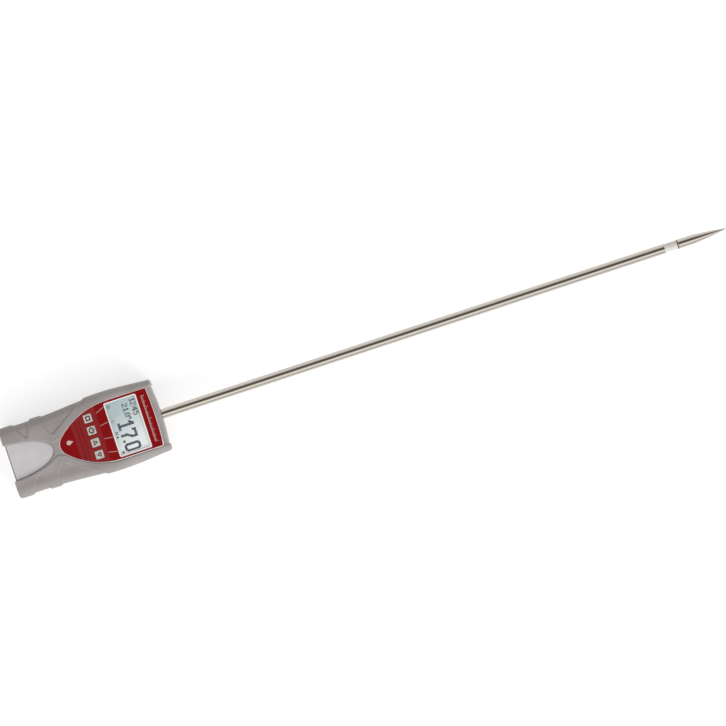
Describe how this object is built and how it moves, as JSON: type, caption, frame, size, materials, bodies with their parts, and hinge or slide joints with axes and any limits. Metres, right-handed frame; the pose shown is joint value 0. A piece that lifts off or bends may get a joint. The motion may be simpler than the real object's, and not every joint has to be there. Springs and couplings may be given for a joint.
{
  "type": "insertion probe moisture meter",
  "caption": "Hand-held moisture meter in a grey rubber boot with a membrane keypad, a display and a long pointed steel insertion probe.",
  "frame": {"origin": "on the flat back of the rubber boot, half way along the boot and in the middle of its width", "axes": "+X across the meter to the reader's right, +Y along the probe to its point, +Z out of the display"},
  "size_m": [0.0818, 0.7655, 0.038],
  "materials": {
    "boot_rubber": "soft-touch satin",
    "housing_plastic": "fine spark-eroded texture",
    "foil_red": "fine satin printed foil",
    "circuit_film": "clear-amber film",
    "key_silver": "satin print",
    "dome_steel": "bright",
    "lens_clear": "clear hard-coated window",
    "lcd_glass": "satin polarizer",
    "diffuser_white": "matt",
    "frame_black": "matt",
    "pin_gold": "plated",
    "board_green": "solder mask",
    "chip_black": "matt",
    "socket_white": "satin",
    "screw_steel": "zinc plated",
    "contact_nickel": "nickel plated",
    "cell_sleeve": "printed sleeve",
    "wire_red": "insulated",
    "wire_black": "insulated",
    "tube_steel": "polished stainless",
    "core_steel": "drawn stainless",
    "sleeve_plastic": "natural",
    "insulator_white": "satin",
    "seal_black": "matt",
    "sensor_steel": "bright",
    "lug_brass": "tinned",
    "label_silver": "matt printed film"
  },
  "bodies": {
    "meter": {"rubber_boot": "boot_rubber", "front_shell": "housing_plastic", "rear_shell": "housing_plastic", "shell_screws": "screw_steel", "type_plate": "label_silver", "keypad_overlay": "foil_red", "keypad_circuit": "circuit_film", "keypad_tail": "circuit_film", "keypad_socket": "socket_white", "display_lens": "lens_clear", "lcd_panel": "lcd_glass", "lcd_backlight": "diffuser_white", "lcd_frame": "frame_black", "lcd_pins": "pin_gold", "main_board": "board_green", "board_screws": "screw_steel", "microcontroller": "chip_black", "board_components": "chip_black", "sounder": "chip_black", "probe_socket": "socket_white", "battery_socket": "socket_white", "battery_contacts": "contact_nickel", "battery_springs": "contact_nickel", "battery_wires": "wire_red", "probe_tube": "tube_steel", "core_rod": "core_steel", "core_sleeve": "sleeve_plastic", "tip_insulator": "insulator_white", "tip_seal": "seal_black", "probe_tip": "tube_steel", "temperature_sensor": "sensor_steel", "sensor_cable": "wire_black", "tube_collar": "core_steel", "tube_seal": "seal_black", "probe_clamp": "core_steel", "clamp_screws": "screw_steel", "core_washer": "sleeve_plastic", "core_nut": "lug_brass", "signal_lug": "lug_brass", "ground_clip": "lug_brass", "signal_wire": "wire_red", "ground_wire": "wire_black", "snap_dome_menu": "dome_steel", "snap_dome_power": "dome_steel", "snap_dome_up": "dome_steel", "snap_dome_down": "dome_steel", "cell_1": "cell_sleeve", "cell_2": "cell_sleeve", "cell_3": "cell_sleeve", "cell_4": "cell_sleeve"},
    "door": {"battery_door": "housing_plastic"},
    "menu_key": {"key_menu": "key_silver"},
    "power_key": {"key_power": "key_silver"},
    "up_key": {"key_up": "key_silver"},
    "down_key": {"key_down": "key_silver"}
  },
  "joints": [
    {"name": "battery_door_slide", "type": "slide", "parent": "meter", "child": "door", "axis": [0, -1, 0], "range_m": [0, 0.066]},
    {"name": "menu_key_press", "type": "slide", "parent": "meter", "child": "menu_key", "axis": [0, 0, -1], "range_m": [0, 0.00035], "stiffness_N_per_m": 3000, "springref_m": -0.0003, "deforming": ["snap_dome_menu"]},
    {"name": "power_key_press", "type": "slide", "parent": "meter", "child": "power_key", "axis": [0, 0, -1], "range_m": [0, 0.00035], "stiffness_N_per_m": 3000, "springref_m": -0.0003, "deforming": ["snap_dome_power"]},
    {"name": "up_key_press", "type": "slide", "parent": "meter", "child": "up_key", "axis": [0, 0, -1], "range_m": [0, 0.00035], "stiffness_N_per_m": 3000, "springref_m": -0.0003, "deforming": ["snap_dome_up"]},
    {"name": "down_key_press", "type": "slide", "parent": "meter", "child": "down_key", "axis": [0, 0, -1], "range_m": [0, 0.00035], "stiffness_N_per_m": 3000, "springref_m": -0.0003, "deforming": ["snap_dome_down"]}
  ]
}
